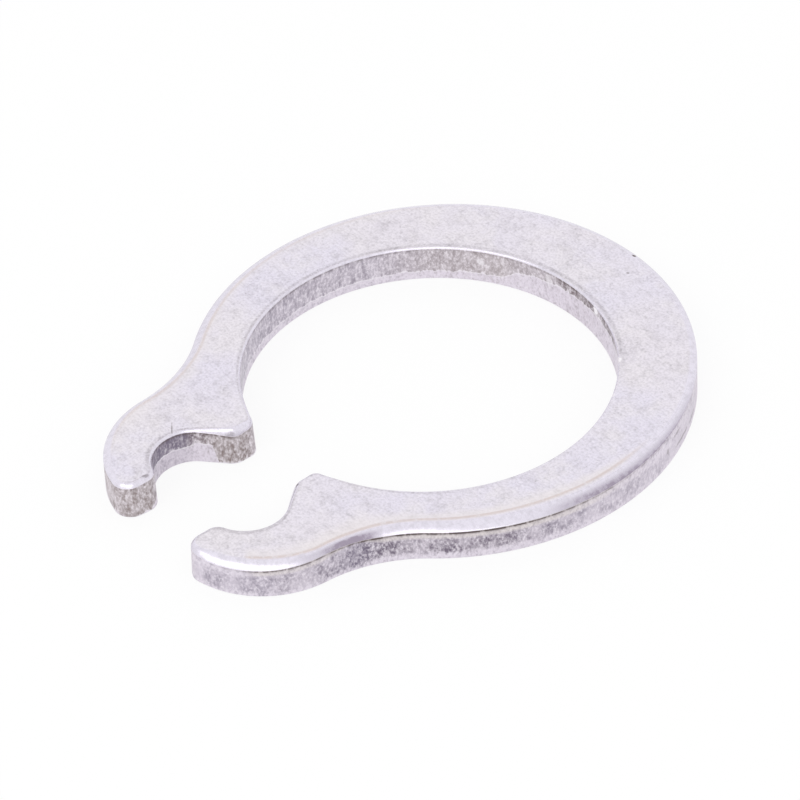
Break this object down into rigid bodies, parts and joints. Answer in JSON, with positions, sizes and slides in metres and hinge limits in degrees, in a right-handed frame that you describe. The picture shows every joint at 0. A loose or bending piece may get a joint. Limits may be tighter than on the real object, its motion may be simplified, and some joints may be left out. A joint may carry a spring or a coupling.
{
  "type": "circlip retaining ring",
  "caption": "External circlip blanked from flat spring steel: open tapered ring with two hooked lugs, half-round plier notches and a rolled upper edge.",
  "frame": {"origin": "on the bore's axis, at the flat underside the ring rests on", "axes": "+Z along the bore towards the face with the rolled outer edge; the gap faces -Y and +Y runs to the ring's widest section; the YZ plane is the mirror plane"},
  "size_m": [0.0126, 0.0152, 0.001],
  "materials": {
    "steel": "matt, tumbled spring steel with a pale grey skin and rough broken edges"
  },
  "bodies": {
    "root": {"circlip": "steel"}
  },
  "joints": []
}
